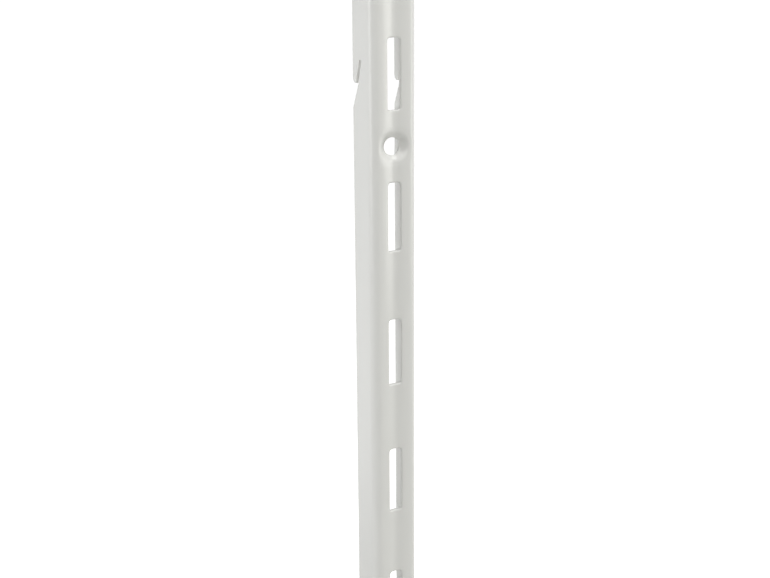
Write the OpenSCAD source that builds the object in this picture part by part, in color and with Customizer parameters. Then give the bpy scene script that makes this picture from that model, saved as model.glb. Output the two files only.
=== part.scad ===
// Slotted wall upright: one strip of sheet steel, punched, pressed and folded to a channel.
// It hangs by two hooks on a rail, is screwed to the wall, and its slots take shelf brackets.
// The origin is on the wall, midway between the flanges, at the height where the hooks bear.

/* [Channel] */
// Length from end to end
length = 500; // [300:50:1200]
// Width across the two flanges
width = 18; // [18:0.5:26]
// Depth from the wall to the face
depth = 13.8; // [12:0.2:20]
// Thickness of the steel sheet
sheet = 1.5; // [1.2:0.1:1.8]
// Radius on the inside of the two long bends
bend_inner_r = 1.5; // [0.8:0.1:1.6]

/* [Groove in the face] */
// Depth of the dip at the face's centre line; it begins at the two bends
groove_depth = 0.8; // [0.4:0.1:1.2]
// Radius of the valley floor
valley_r = 6; // [3:0.5:8]

/* [Bracket slots] */
// Distance from slot to slot
slot_pitch = 50; // [40:5:64]
// Length of a slot
slot_l = 24.6; // [16:0.2:26]
// Width of a slot
slot_w = 4.8; // [4.5:0.1:6]
// Corner radius of a slot
slot_r = 1; // [0.4:0.1:2]
// Distance from the top end to the middle of the first slot
first_slot = 35; // [30:1:60]
// Least length of plain face below the last slot
end_land = 12; // [5:1:30]

/* [Screw holes] */
// Diameter of the holes
hole_d = 6; // [4:0.5:6.5]
// Number of slots from one hole to the next
hole_every = 4; // [2:1:6]
// How far the rim of a hole lies behind the face
dimple_depth = 2.4; // [1.8:0.1:2.5]
// Slope of the pressed dimple round a hole, in degrees
dimple_slope = 46; // [42:1:48]
// Radius on the inside of the bend round a dimple
dimple_inner_r = 0.1; // [0.1:0.1:0.3]
// Thickness of the sheet left at the rim of a hole, along the screw
rim_land = 1.6; // [1.2:0.1:1.8]

/* [Hooks on the flanges] */
// Distance from the top end to the seat of the hooks
hook_seat = 30.3; // [20:0.1:40]
// Width of the slit that takes the lip of the rail
slit_w = 1.5; // [1:0.1:2.2]
// Distance from the wall to the middle of the slit at its seat
slit_back = 5.5; // [5:0.1:6]
// Forward lean of the slit, in degrees
slit_lean = 17.5; // [8:0.5:20]
// Height of the hook from its seat to its tip
hook_h = 8.3; // [6:0.1:9]
// Radius of the tip on the wall side
tip_r = 2; // [1:0.1:2.1]
// Height from the seat to the foot of the ramp below the hook
ramp_h = 16.9; // [13:0.1:20]

/* [Hidden] */
bend_r = bend_inner_r + sheet;
groove_half = width / 2 - bend_r;
past = 1;        // how far a cutter runs past the metal
bend_steps = 8;  // flats in a quarter turn
groove_steps = 8;
round_fn = 48;

// the dip is two convex crests and a valley, all tangent: the slope where they meet, the crests' radius
crest_slope = 2 * atan(groove_depth / groove_half);
crest_r = groove_half / sin(crest_slope) - valley_r;

slot_count = 1 + floor((length - first_slot - slot_l / 2 - end_land) / slot_pitch);
first_hole = first_slot + slot_pitch / 2;
hole_gap = hole_every * slot_pitch;
shoulder_r = dimple_inner_r + sheet;
dimple_r = hole_d / 2 + shoulder_r * sin(dimple_slope)
    + (dimple_depth - shoulder_r * (1 - cos(dimple_slope))) / tan(dimple_slope);
hole_count = 1 + floor((length - first_hole - dimple_r - end_land) / hole_gap);

// points on an arc round [x, y], from one angle to another
function arc(x, y, r, from, to, steps) =
    [for (i = [0 : steps]) let (a = from + (to - from) * i / steps) [x + r * cos(a), y + r * sin(a)]];

// one half of the channel's outline, from the centre line to the wall, a step inwards from the face
function half_outline(inset) = concat(
    arc(0, -depth + groove_depth - valley_r, valley_r + inset, 90, 90 - crest_slope, groove_steps),
    arc(groove_half, -depth + crest_r, crest_r - inset, 270 - crest_slope, 270, groove_steps),
    arc(groove_half, -depth + bend_r, bend_r - inset, 270, 360, bend_steps),
    [[width / 2 - inset, 0]]
);
function mirrored(points) = [for (i = [len(points) - 1 : -1 : 0]) [-points[i].x, points[i].y]];
function shell(inset) = concat(mirrored(half_outline(inset)), half_outline(inset));
function backwards(points) = [for (i = [len(points) - 1 : -1 : 0]) points[i]];

// height in the part's frame of a distance measured down from the top end
function below_top(distance) = hook_seat - distance;

module channel() {
    translate([0, 0, below_top(length)])
        linear_extrude(length)
            polygon(concat(shell(0), backwards(shell(sheet))));
}

// a flat slot outline with its length upright
module slot_outline() {
    corner_x = slot_w / 2 - slot_r;
    corner_y = slot_l / 2 - slot_r;
    square([slot_w, 2 * corner_y], center = true);
    square([2 * corner_x, slot_l], center = true);
    for (x = [-corner_x, corner_x], y = [-corner_y, corner_y])
        translate([x, y])
            circle(slot_r, $fn = round_fn);
}

module slot_cutter() {
    translate([0, -depth + groove_depth + sheet + past, 0])
        rotate([90, 0, 0])
            linear_extrude(groove_depth + sheet + 2 * past)
                slot_outline();
}

// section of the pressed dimple's hollow side or back, as radius and depth behind the face
function dimple_section(thick) = concat(
    arc(dimple_r, shoulder_r, shoulder_r - thick, 270, 270 - dimple_slope, bend_steps),
    [[rim_radius(thick), rim_depth(thick)]]
);
function rim_depth(thick) = thick > 0 ? dimple_depth + rim_land : dimple_depth;
function rim_radius(thick) = hole_d / 2
    + (thick / cos(dimple_slope) - (rim_depth(thick) - dimple_depth)) / tan(dimple_slope);

// a solid of revolution about the screw's axis, its depth measured back from the face
module about_screw(height) {
    translate([0, -depth, height])
        rotate([-90, 0, 0])
            rotate_extrude($fn = 2 * round_fn)
                children();
}

module dimple_back(height) {
    about_screw(height)
        polygon(concat(
            [[0, sheet / 2], [dimple_r, sheet / 2]],
            dimple_section(sheet),
            [[0, rim_depth(sheet)]]
        ));
}

module dimple_hollow(height) {
    about_screw(height)
        polygon(concat(
            [[0, -past], [dimple_r, -past]],
            dimple_section(0),
            [[0, dimple_depth]]
        ));
}

module screw_hole(height) {
    translate([0, -depth, height])
        rotate([-90, 0, 0])
            cylinder(d = hole_d, h = dimple_depth + rim_land + past, $fn = round_fn);
}

// side view of what is punched out of both flanges: the wall is at x = 0, the seat at y = 0
module notch_outline() {
    seat_r = slit_w / 2;
    tip_y = tip_r - hook_h;
    // the slit, with a round seat, leans along its middle line
    slit_x = function(y) -slit_back - (y + seat_r) * tan(slit_lean);
    side_x = seat_r * cos(slit_lean);
    side_y = seat_r * sin(slit_lean);
    half_w = seat_r / cos(slit_lean);
    translate([-slit_back, -seat_r])
        circle(seat_r, $fn = round_fn);
    polygon([
        [-slit_back - side_x, -seat_r - side_y],
        [-slit_back + side_x, -seat_r + side_y],
        [slit_x(-hook_h) + half_w, -hook_h],
        [slit_x(-hook_h) - half_w, -hook_h]
    ]);
    // the opening below the hook, down to the foot of the ramp
    difference() {
        polygon([
            [past, tip_y],
            [slit_x(tip_y), tip_y],
            [slit_x(-hook_h) - half_w, -hook_h],
            [0, -ramp_h],
            [past, -ramp_h]
        ]);
        translate([-tip_r, tip_y])
            circle(tip_r, $fn = round_fn);
    }
}

module upright() {
    color("whitesmoke")
    difference() {
        union() {
            channel();
            for (i = [0 : hole_count - 1])
                dimple_back(below_top(first_hole + i * hole_gap));
        }
        for (i = [0 : slot_count - 1])
            translate([0, 0, below_top(first_slot + i * slot_pitch)])
                slot_cutter();
        for (i = [0 : hole_count - 1]) {
            dimple_hollow(below_top(first_hole + i * hole_gap));
            screw_hole(below_top(first_hole + i * hole_gap));
        }
        rotate([90, 0, 90])
            linear_extrude(width + 2 * past, center = true)
                notch_outline();
    }
}

upright();
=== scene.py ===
import math
import bpy
import bmesh
from mathutils import Matrix, Vector


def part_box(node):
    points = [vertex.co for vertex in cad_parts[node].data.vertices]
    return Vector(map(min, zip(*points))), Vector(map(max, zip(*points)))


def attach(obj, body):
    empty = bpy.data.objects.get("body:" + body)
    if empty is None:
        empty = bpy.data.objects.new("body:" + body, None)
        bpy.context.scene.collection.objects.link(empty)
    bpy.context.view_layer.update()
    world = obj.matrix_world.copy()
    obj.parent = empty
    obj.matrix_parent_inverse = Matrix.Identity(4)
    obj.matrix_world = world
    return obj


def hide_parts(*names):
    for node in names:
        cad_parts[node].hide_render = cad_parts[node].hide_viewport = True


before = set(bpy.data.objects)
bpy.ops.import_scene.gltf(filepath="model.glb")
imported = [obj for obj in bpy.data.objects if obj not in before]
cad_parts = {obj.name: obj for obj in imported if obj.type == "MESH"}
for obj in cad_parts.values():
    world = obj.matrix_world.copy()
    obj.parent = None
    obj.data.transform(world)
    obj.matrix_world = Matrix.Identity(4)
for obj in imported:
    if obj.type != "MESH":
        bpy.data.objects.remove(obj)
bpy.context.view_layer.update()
uprightLow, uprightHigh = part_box("upright")
mm = 0.001     # metres
near = 0.01    # mm within which two places count as one


# the upright: one strip of steel, built as its outer face and then given its thickness

upright = {
    "sheet": 1.5,            # all sizes in mm
    "bendRadius": 3.0,       # outside of the two long folds
    "dipDepth": 0.8,         # the face dips towards its centre line, from fold to fold
    "valleyRadius": 6.0,
    "slotPitch": 50.0,
    "slotLength": 24.6,
    "slotWidth": 4.8,
    "slotCorner": 1.0,
    "firstSlot": 35.0,       # from the top end to the middle of the first slot
    "slotCount": 9,
    "firstHole": 60.0,
    "holeGap": 200.0,
    "holeCount": 3,
    "holeRadius": 3.0,
    "dimpleDepth": 2.4,      # rim of a screw hole behind the face
    "dimpleSlope": 46.0,     # degrees
    "dimpleSoftness": 0.7,   # how far the press rounds the dimple's shoulder
    "softReach": 2.0,        # how far above the cone that rounding is felt
    "rimFlat": 0.4,          # width of the flat ring round a hole
    "slitWidth": 1.5,
    "slitBack": 5.5,
    "slitLean": 17.5,        # degrees
    "hookHeight": 8.3,
    "tipRadius": 2.0,
    "innerRadius": 0.25,     # corner of the hook on the slit's side
    "seatShare": 0.998,      # of half the slit, rounded at each corner of its seat: at 1 they would meet
    "rampHeight": 16.9,
    "hookLand": 1.0,         # flange above and below the hook that is meshed with it
    "dieRoll": 0.5,          # rounding that the punch leaves on the slots' front edges
    "edgeRound": 0.14,       # coat and deburring on every other edge
    "cornerAngle": 50.0,     # degrees from which an edge counts as a corner
    "smoothAngle": 42.0,     # degrees up to which the shading runs on over an edge
    "slotMargin": 2.5,       # face above and below a slot that is meshed with it
    "stepsAcross": 16,       # mesh steps over the face, and along each kind of stretch
    "stepsSlot": 28,
    "stepsHole": 16,
    "stepsPlain": 4,
    "ringsSlot": 3,
    "ringsHole": 14,
    "stepsCorner": 8,        # and round each bend, corner and edge
    "stepsFold": 10,
    "stepsTip": 8,
    "stepsInner": 3,
    "stepsSeat": 6,
    "stepsRoll": 4,
    "stepsEased": 2,
}
u = upright
halfWidth = (uprightHigh.x - uprightLow.x) / 2 / mm
depth = (uprightHigh.y - uprightLow.y) / mm
length = (uprightHigh.z - uprightLow.z) / mm
topZ = uprightHigh.z / mm
bottomZ = topZ - length
panelHalf = halfWidth - u["bendRadius"]    # half width of the stretch of face between the folds
slotMiddles = [topZ - u["firstSlot"] - i * u["slotPitch"] for i in range(u["slotCount"])]
holeMiddles = [topZ - u["firstHole"] - i * u["holeGap"] for i in range(u["holeCount"])]


def dipAt(x):
    # how far the face lies behind its front plane: two crests and a valley, all tangent
    half = panelHalf
    slope = 2 * math.atan(u["dipDepth"] / half)
    crest = half / math.sin(slope) - u["valleyRadius"]
    x = abs(x)
    if x >= half:
        return 0.0
    if x > u["valleyRadius"] * math.sin(slope):
        return crest - math.sqrt(crest ** 2 - (half - x) ** 2)
    return u["dipDepth"] - u["valleyRadius"] + math.sqrt(u["valleyRadius"] ** 2 - x ** 2)


def softMax(a, b, softness):
    return (a + b + math.hypot(a - b, softness)) / 2


def faceDepth(x, z):
    # the dip and, round a screw hole, the pressed dimple, whichever lies deeper
    dip = dipAt(x)
    out = min(math.hypot(x, z - hole) for hole in holeMiddles) - u["holeRadius"] - u["rimFlat"] / 2
    cone = u["dimpleDepth"] - max(out, 0) * math.tan(math.radians(u["dimpleSlope"]))
    return softMax(dip, cone, u["dimpleSoftness"]) if cone > dip - u["softReach"] else dip


def rectPoint(share, halfX, halfZ, across, along):
    # a point on a rectangle, for a loop of 2 * (across + along) steps that starts at a corner
    step = share * 2 * (across + along)
    if step < across:
        return halfX - 2 * halfX * step / across, halfZ
    step -= across
    if step < along:
        return -halfX, halfZ - 2 * halfZ * step / along
    step -= along
    if step < across:
        return -halfX + 2 * halfX * step / across, -halfZ
    step -= across
    return halfX, -halfZ + 2 * halfZ * step / along


def slotPoint(share, halfX, halfZ, corner, across, along, cornerSteps):
    # the same loop on a slot's outline: half of each round corner belongs to each side
    step = share * 2 * (across + along)
    for side, steps in enumerate((across, along, across, along)):
        if step < steps:
            break
        step -= steps
    half = cornerSteps / 2
    corners = [(1, 1), (-1, 1), (-1, -1), (1, -1)]
    if step <= half:
        cx, cz = corners[side]
        angle = math.radians(45 + 90 * side) + step / cornerSteps * math.pi / 2
    elif step >= steps - half:
        cx, cz = corners[(side + 1) % 4]
        angle = math.radians(45 + 90 * (side + 1)) - (steps - step) / cornerSteps * math.pi / 2
    else:
        run = (step - half) / (steps - cornerSteps)
        ax, az = corners[side]
        bx, bz = corners[(side + 1) % 4]
        outX = (ax == bx) * corner
        outZ = (az == bz) * corner
        x = (ax + (bx - ax) * run) * (halfX - corner) + ax * outX
        z = (az + (bz - az) * run) * (halfZ - corner) + az * outZ
        return x, z
    return cx * (halfX - corner) + corner * math.cos(angle), cz * (halfZ - corner) + corner * math.sin(angle)


def eachOnce(items):
    # in the order they come, where the order of a set would change from run to run
    return list(dict.fromkeys(items))


def fixOrder(bm):
    # a merge or a bevel can leave edges and faces in an order that changes from run to run
    bm.verts.index_update()
    count = len(bm.verts)

    def rank(item):
        number = 0
        for index in sorted(v.index for v in item.verts)[:3]:    # three corners tell a face from any other
            number = number * count + index
        return number

    bm.edges.sort(key=rank)
    bm.faces.sort(key=rank)


def addLoop(bm, count, middle, place):
    # a ring of edges whose points place() puts on an outline round the middle
    ring = bmesh.ops.create_circle(bm, cap_ends=False, segments=count, radius=1.0)["verts"]
    ring.sort(key=lambda v: math.atan2(v.co.y, v.co.x) % (2 * math.pi))
    for i, vert in enumerate(ring):
        x, z = place(i / count)
        vert.co = (x, -depth, middle + z)
    return eachOnce(edge for vert in ring for edge in vert.link_edges)


def addPierced(bm, middle, half, along, rings, place):
    # a stretch of the face with an opening in it
    across = u["stepsAcross"]
    count = 2 * (across + along)
    outer = addLoop(bm, count, middle, lambda share: rectPoint(share, panelHalf, half, across, along))
    inner = addLoop(bm, count, middle, lambda share: place(share, across, along))
    faces = bmesh.ops.bridge_loops(bm, edges=outer + inner)["faces"]
    rims = set(outer + inner)
    cross = eachOnce(edge for face in faces for edge in face.edges if edge not in rims)
    bmesh.ops.subdivide_edges(bm, edges=cross, cuts=rings, use_grid_fill=True)


def addPlain(bm, high, low, rows):
    # a stretch of the face with nothing in it
    made = bmesh.ops.create_grid(bm, x_segments=u["stepsAcross"], y_segments=rows, size=1.0)["verts"]
    for vert in made:
        vert.co = (vert.co.x * panelHalf, -depth, (high + low) / 2 + vert.co.y * (high - low) / 2)


def slotPlace(share, across, along):
    halfX, halfZ = u["slotWidth"] / 2, u["slotLength"] / 2
    return slotPoint(share, halfX, halfZ, u["slotCorner"], across, along, u["stepsCorner"])


def holePlace(share, across, along):
    x, z = rectPoint(share, 1, 1, across, along)
    angle = math.atan2(z, x)
    return u["holeRadius"] * math.cos(angle), u["holeRadius"] * math.sin(angle)


def bevel(bm, geom, size, steps, affect="EDGES"):
    bmesh.ops.bevel(bm, geom=geom, offset=size, offset_type="OFFSET", segments=steps, profile=0.5,
                    affect=affect, clamp_overlap=False, material=-1)


def buildSheet():
    bm = bmesh.new()
    slotHalf = u["slotLength"] / 2 + u["slotMargin"]    # half the height of the stretch round a slot
    gapHalf = u["slotPitch"] / 2 - slotHalf
    for z in slotMiddles:
        addPierced(bm, z, slotHalf, u["stepsSlot"], u["ringsSlot"], slotPlace)
    for z in holeMiddles:
        addPierced(bm, z, gapHalf, u["stepsHole"], u["ringsHole"], holePlace)
    for z in slotMiddles[:-1]:
        middle = z - u["slotPitch"] / 2
        if min(abs(middle - hole) for hole in holeMiddles) > near:
            addPlain(bm, middle + gapHalf, middle - gapHalf, u["stepsPlain"])
    addPlain(bm, topZ, slotMiddles[0] + slotHalf, u["stepsPlain"])
    addPlain(bm, holeMiddles[-1] - gapHalf, bottomZ, u["stepsPlain"])
    bmesh.ops.remove_doubles(bm, verts=bm.verts, dist=near)

    # the two flanges: out to the full width, then back to the wall
    for side in (-1, 1):
        rim = [e for e in bm.edges if all(abs(v.co.x - side * panelHalf) < near for v in e.verts)]
        for move in ((side * u["bendRadius"], 0, 0), (0, depth, 0)):
            made = bmesh.ops.extrude_edge_only(bm, edges=rim)["geom"]
            bmesh.ops.translate(bm, vec=move, verts=[g for g in made if isinstance(g, bmesh.types.BMVert)])
            rim = [g for g in made if isinstance(g, bmesh.types.BMEdge)]
    faceForward(bm)
    folds = [e for e in bm.edges
             if all(abs(abs(v.co.x) - halfWidth) < near and abs(v.co.y + depth) < near for v in e.verts)]
    bevel(bm, folds, u["bendRadius"], u["stepsFold"])
    bmesh.ops.remove_doubles(bm, verts=bm.verts, dist=near)    # the folds end where the face begins
    fixOrder(bm)

    # the dip and the dimples are pressed into the face
    for vert in bm.verts:
        if abs(vert.co.x) < panelHalf + near:
            vert.co.y = -depth + faceDepth(vert.co.x, vert.co.z)
    for side in (-1, 1):
        cutHook(bm, side)
    faceForward(bm)
    return bm


def faceForward(bm):
    # all normals point out of the channel, as the plain face above the first slot shows
    bmesh.ops.recalc_face_normals(bm, faces=bm.faces)
    plain = Vector((0, -depth, topZ))
    nearest = min(bm.faces, key=lambda f: (f.calc_center_median() - plain).length)
    if nearest.normal.y > 0:
        bmesh.ops.reverse_faces(bm, faces=bm.faces)


def cutHook(bm, side):
    # the flange's faces beside the hook make way for one whose outline is the slit, the hook and the ramp
    onFlange = [f for f in bm.faces if all(abs(v.co.x - side * halfWidth) < near for v in f.verts)]
    beside = [f for f in onFlange if min(v.co.z for v in f.verts) < u["hookLand"]
              and max(v.co.z for v in f.verts) > -u["rampHeight"] - u["hookLand"]]
    upwards = sorted(eachOnce(v for f in beside for v in f.verts), key=lambda v: v.co.z)
    front = [v for v in upwards if v.co.y < -near]
    back = [v for v in upwards if v.co.y > -near]    # on the wall
    bmesh.ops.delete(bm, geom=beside, context="FACES_ONLY")
    bmesh.ops.delete(bm, geom=back[1:-1], context="VERTS")

    # side view, as y and z: the slit leans forward from its round seat, whose top is at z = 0
    lean = math.radians(u["slitLean"])
    seatRadius = u["slitWidth"] / 2
    seat = Vector((-u["slitBack"], -seatRadius))
    down = Vector((math.sin(lean), -math.cos(lean)))
    across = Vector((math.cos(lean), math.sin(lean))) * seatRadius
    seatTop = seat - down * seatRadius
    mouth = seat + down * (u["hookHeight"] - seatRadius) / math.cos(lean)
    mouthHalf = seatRadius / math.cos(lean)

    def flangeVert(y, z):
        return bm.verts.new((side * halfWidth, y, z))

    tip = flangeVert(0, -u["hookHeight"])
    inner = flangeVert(mouth.x + mouthHalf, -u["hookHeight"])
    seatBack = flangeVert(*(seatTop + across))
    seatFront = flangeVert(*(seatTop - across))
    outer = flangeVert(mouth.x - mouthHalf, -u["hookHeight"])
    foot = flangeVert(0, -u["rampHeight"])
    bm.faces.new(front + [back[-1], tip, inner, seatBack, seatFront, outer, foot, back[0]])
    bevel(bm, [tip], u["tipRadius"], u["stepsTip"], "VERTICES")
    bevel(bm, [inner], u["innerRadius"], u["stepsInner"], "VERTICES")
    for corner in (seatBack, seatFront):
        bevel(bm, [corner], seatRadius * u["seatShare"], u["stepsSeat"], "VERTICES")


def giveThickness(bm):
    # the sheet's wall, laid on the inside of its outer face
    mesh = bpy.data.meshes.new("sheet")
    bm.to_mesh(mesh)
    bm.free()
    sheet = bpy.data.objects.new("sheet", mesh)
    bpy.context.scene.collection.objects.link(sheet)
    wall = sheet.modifiers.new("wall", "SOLIDIFY")
    wall.thickness = u["sheet"]
    wall.offset = -1    # inwards
    wall.use_even_offset = True
    wall.use_quality_normals = True
    solid = bmesh.new()
    solid.from_object(sheet, bpy.context.evaluated_depsgraph_get())
    bpy.data.objects.remove(sheet)
    bpy.data.meshes.remove(mesh)
    return solid


def roundEdges(bm):
    # the punch rolls the slots' front edges over, and every other outer edge is only eased
    bm.normal_update()
    rolled, eased = [], []
    for edge in bm.edges:
        if len(edge.link_faces) != 2 or edge.calc_face_angle() < math.radians(u["cornerAngle"]):
            continue
        a, b = (v.co for v in edge.verts)
        behind = max(a.y, b.y) + depth
        onFace = behind < u["dipDepth"] + near and max(abs(a.x), abs(b.x)) < panelHalf
        atEnd = min(abs(a.z - topZ), abs(a.z - bottomZ)) < near
        atHole = min(math.hypot(a.x, a.z - z) for z in holeMiddles) < u["holeRadius"] + near
        if onFace and not atHole and not atEnd:
            rolled.append(edge)
        elif onOuterFace(a) and onOuterFace(b) or atHole and behind < u["dimpleDepth"] + u["dieRoll"]:
            eased.append(edge)
    bevel(bm, rolled, u["dieRoll"], u["stepsRoll"])
    bevel(bm, [e for e in eased if e.is_valid], u["edgeRound"], u["stepsEased"])
    fixOrder(bm)


def onOuterFace(co):
    # on the front, on a flange's outside or on a fold between them
    if abs(abs(co.x) - halfWidth) < near or co.y < -depth + u["dipDepth"] + near:
        return True
    foldX = abs(co.x) - panelHalf
    foldY = co.y + depth - u["bendRadius"]
    return foldX > 0 > foldY and math.hypot(foldX, foldY) > u["bendRadius"] - 2 * near


print("building the upright's sheet")
bm = giveThickness(buildSheet())
print("rounding its edges")
roundEdges(bm)
bmesh.ops.scale(bm, vec=(mm, mm, mm), verts=bm.verts)
uprightMesh = bpy.data.meshes.new("uprightSteel")
bm.to_mesh(uprightMesh)
bm.free()
uprightMesh.shade_smooth()
uprightMesh.set_sharp_from_angle(angle=math.radians(u["smoothAngle"]))
uprightPiece = bpy.data.objects.new("uprightSteel", uprightMesh)
bpy.context.scene.collection.objects.link(uprightPiece)
print("faces in the upright:", len(uprightMesh.polygons))
soften = uprightPiece.modifiers.new("flatFaces", "WEIGHTED_NORMAL")
soften.mode = "FACE_AREA"
soften.keep_sharp = True
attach(uprightPiece, "root")
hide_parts("upright")


# materials

def linearColour(hexValue):
    channels = [int(hexValue[i:i + 2], 16) / 255 for i in (1, 3, 5)]
    return tuple(c / 12.92 if c <= 0.04045 else ((c + 0.055) / 1.055) ** 2.4 for c in channels) + (1.0,)


def addNode(tree, kind, settings=None, inputs=None):
    # settings are the node's own values; inputs are numbers, colours or another node's output
    node = tree.nodes.new(kind)
    for name, value in (settings or {}).items():
        setattr(node, name, value)
    for name, value in (inputs or {}).items():
        if isinstance(value, bpy.types.NodeSocket):
            tree.links.new(value, node.inputs[name])
        else:
            node.inputs[name].default_value = value
    return node


coat = {
    "colour": "#e9e9e7",
    "roughness": 0.21,
    "ior": 1.5,             # polyester resin
    "peelSize": 1.3,        # mm from crest to crest of the orange peel, as such a coat has
    "peelHeight": 0.007,    # mm
    "peelDetail": 1.0,
    "peelBreakUp": 0.4,     # how much that detail roughens the crests
    "grainSize": 0.28,      # mm, the finer ripple between the crests
    "grainHeight": 0.0012,
    "grainDetail": 1.0,
    "cloudSize": 15.0,      # mm over which the coat's thickness drifts
    "cloudDetail": 2.0,
    "cloudThin": 0.3,       # the noise that counts as the coat at its thinnest and its thickest
    "cloudThick": 0.7,
    "sheenShift": 0.03,     # by which that changes its roughness
}


def powderCoatWhite():
    # baked powder coat on steel: satin white, with a fine orange peel that breaks up its reflections
    material = bpy.data.materials.new("powderCoatWhite")
    material.use_nodes = True
    tree = material.node_tree
    shader = tree.nodes["Principled BSDF"]
    place = addNode(tree, "ShaderNodeTexCoord")
    peel = addNode(tree, "ShaderNodeTexNoise", {"noise_dimensions": "3D"},
                   {"Vector": place.outputs["Object"], "Scale": 1 / (coat["peelSize"] * mm),
                    "Detail": coat["peelDetail"], "Roughness": coat["peelBreakUp"]})
    grain = addNode(tree, "ShaderNodeTexNoise", {"noise_dimensions": "3D"},
                    {"Vector": place.outputs["Object"], "Scale": 1 / (coat["grainSize"] * mm),
                     "Detail": coat["grainDetail"]})
    peelBump = addNode(tree, "ShaderNodeBump", None,
                       {"Strength": 1.0, "Distance": coat["peelHeight"] * mm, "Height": peel.outputs["Fac"]})
    grainBump = addNode(tree, "ShaderNodeBump", None,
                        {"Strength": 1.0, "Distance": coat["grainHeight"] * mm,
                         "Height": grain.outputs["Fac"], "Normal": peelBump.outputs["Normal"]})
    # the coat lies a little thicker here and thinner there, which shifts its sheen
    cloud = addNode(tree, "ShaderNodeTexNoise", {"noise_dimensions": "3D"},
                    {"Vector": place.outputs["Object"], "Scale": 1 / (coat["cloudSize"] * mm),
                     "Detail": coat["cloudDetail"]})
    sheen = addNode(tree, "ShaderNodeMapRange", None,
                    {"Value": cloud.outputs["Fac"],
                     "From Min": coat["cloudThin"], "From Max": coat["cloudThick"],
                     "To Min": coat["roughness"] - coat["sheenShift"],
                     "To Max": coat["roughness"] + coat["sheenShift"]})
    shader.inputs["Base Color"].default_value = linearColour(coat["colour"])
    shader.inputs["IOR"].default_value = coat["ior"]
    tree.links.new(sheen.outputs["Result"], shader.inputs["Roughness"])
    tree.links.new(grainBump.outputs["Normal"], shader.inputs["Normal"])
    return material


uprightPiece.data.materials.append(powderCoatWhite())


# floor, light and camera

sweep = {
    "radius": 14.0,                # metres
    "sides": 96,
    "colour": "#dededb",
    "gap": 0.002,                  # metres between it and the upright's lower end
    "towards": (0.5, 0.87, 0.0),   # the way the camera looks
    "dimUntil": 0.22,              # metres from the upright's foot
    "brightFrom": 0.46,
    "glow": 1.02,
    "roughness": 0.9,
}
fill = 0.07    # strength of the room's light


def studioFloor():
    # matt, pale paper, lit from below where it lies behind the upright, so that it looks plain white there
    mesh = bpy.data.meshes.new("floor")
    bm = bmesh.new()
    bmesh.ops.create_circle(bm, cap_ends=True, segments=sweep["sides"], radius=sweep["radius"])
    bm.to_mesh(mesh)
    bm.free()
    floor = bpy.data.objects.new("floor", mesh)
    floor.location = (0, 0, uprightLow.z - sweep["gap"])
    bpy.context.scene.collection.objects.link(floor)
    material = bpy.data.materials.new("floorPaper")
    material.use_nodes = True
    tree = material.node_tree
    shader = tree.nodes["Principled BSDF"]
    shader.inputs["Base Color"].default_value = linearColour(sweep["colour"])
    shader.inputs["Roughness"].default_value = sweep["roughness"]
    shader.inputs["Emission Color"].default_value = (1, 1, 1, 1)
    place = addNode(tree, "ShaderNodeTexCoord")
    along = addNode(tree, "ShaderNodeVectorMath", {"operation": "DOT_PRODUCT"},
                    {0: place.outputs["Object"], 1: sweep["towards"]})
    glow = addNode(tree, "ShaderNodeMapRange", {"interpolation_type": "SMOOTHSTEP"},
                   {"Value": along.outputs["Value"], "From Min": sweep["dimUntil"],
                    "From Max": sweep["brightFrom"], "To Min": 0.0, "To Max": sweep["glow"]})
    tree.links.new(glow.outputs["Result"], shader.inputs["Emission Strength"])
    mesh.materials.append(material)


lights = {
    # azimuth and height in degrees as seen from the upright, then distance, width and height in metres,
    # power in watts and colour
    "leftPanel": (-108, 12, 1.2, 0.46, 1.0, 3.3, "#feffff"),
    "leftStrip": (-94, 6, 1.2, 0.2, 1.0, 3.0, "#feffff"),
    "frontPanel": (-30, 28, 1.2, 0.65, 1.1, 5.1, "#fffffb"),
    "rightPanel": (53, 6, 1.2, 0.5, 1.0, 4.3, "#fffff9"),
    "topPanel": (50, 73, 1.0, 0.85, 0.85, 9.0, "#ffffff"),
}
lookAt = Vector((0, -0.006, -0.04))    # the place on the upright that they face, in metres


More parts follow.
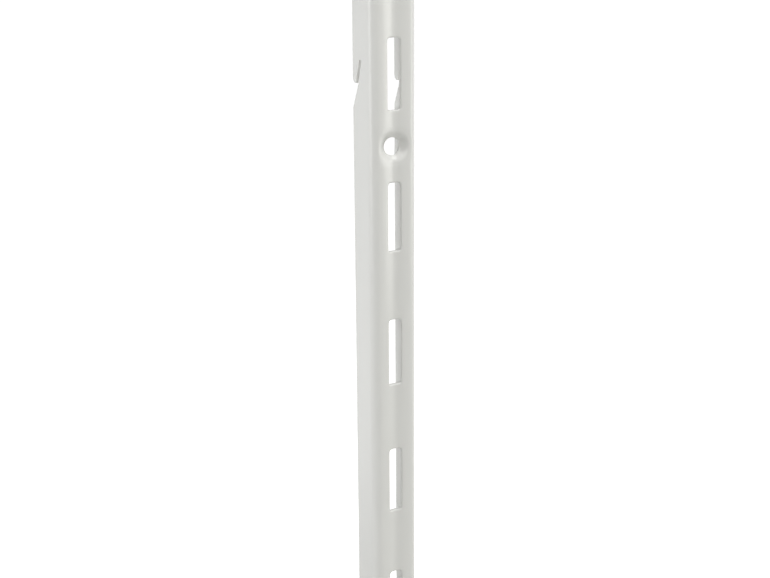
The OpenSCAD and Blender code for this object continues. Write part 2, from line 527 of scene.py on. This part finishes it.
def addLight(name, azimuth, height, distance, width, tall, power, colour):
    data = bpy.data.lights.new(name, "AREA")
    data.shape = "RECTANGLE"
    data.size = width
    data.size_y = tall
    data.energy = power
    data.color = linearColour(colour)[:3]
    light = bpy.data.objects.new(name, data)
    a, e = math.radians(azimuth), math.radians(height)
    towards = Vector((math.sin(a) * math.cos(e), -math.cos(a) * math.cos(e), math.sin(e)))
    light.location = lookAt + towards * distance
    light.rotation_euler = towards.to_track_quat("Z", "Y").to_euler()
    bpy.context.scene.collection.objects.link(light)


view = {
    "focal": 1317.5,     # in pixels of the 770 wide frame
    "frameWidth": 770,
    "sensor": 36.0,      # mm
    "yaw": 28.94,        # degrees from straight ahead, seen from the left
    "pitch": 15.82,      # degrees down
    "roll": -0.37,
    "place": (-222.1, -407.6, 47.4),   # mm
}


def addCamera():
    data = bpy.data.cameras.new("camera")
    data.sensor_width = view["sensor"]
    data.lens = view["focal"] / view["frameWidth"] * view["sensor"]
    camera = bpy.data.objects.new("camera", data)
    yaw, pitch, roll = (math.radians(view[k]) for k in ("yaw", "pitch", "roll"))
    ahead = Vector((math.sin(yaw) * math.cos(pitch), math.cos(yaw) * math.cos(pitch), -math.sin(pitch)))
    right = Vector((math.cos(yaw), -math.sin(yaw), 0))
    up = right.cross(ahead)
    tilted = right * math.cos(roll) + up * math.sin(roll)
    raised = up * math.cos(roll) - right * math.sin(roll)
    turn = Matrix((tilted, raised, -ahead)).transposed()
    camera.matrix_world = Matrix.Translation(Vector(view["place"]) * mm) @ turn.to_4x4()
    bpy.context.scene.collection.objects.link(camera)
    bpy.context.scene.camera = camera


print("setting the floor, the lights and the camera")
studioFloor()
for name, settings in lights.items():
    addLight(name, *settings)
world = bpy.data.worlds.new("studio")
world.use_nodes = True
world.node_tree.nodes["Background"].inputs["Color"].default_value = (1, 1, 1, 1)
world.node_tree.nodes["Background"].inputs["Strength"].default_value = fill
bpy.context.scene.world = world
bpy.context.scene.view_settings.view_transform = "Standard"
addCamera()
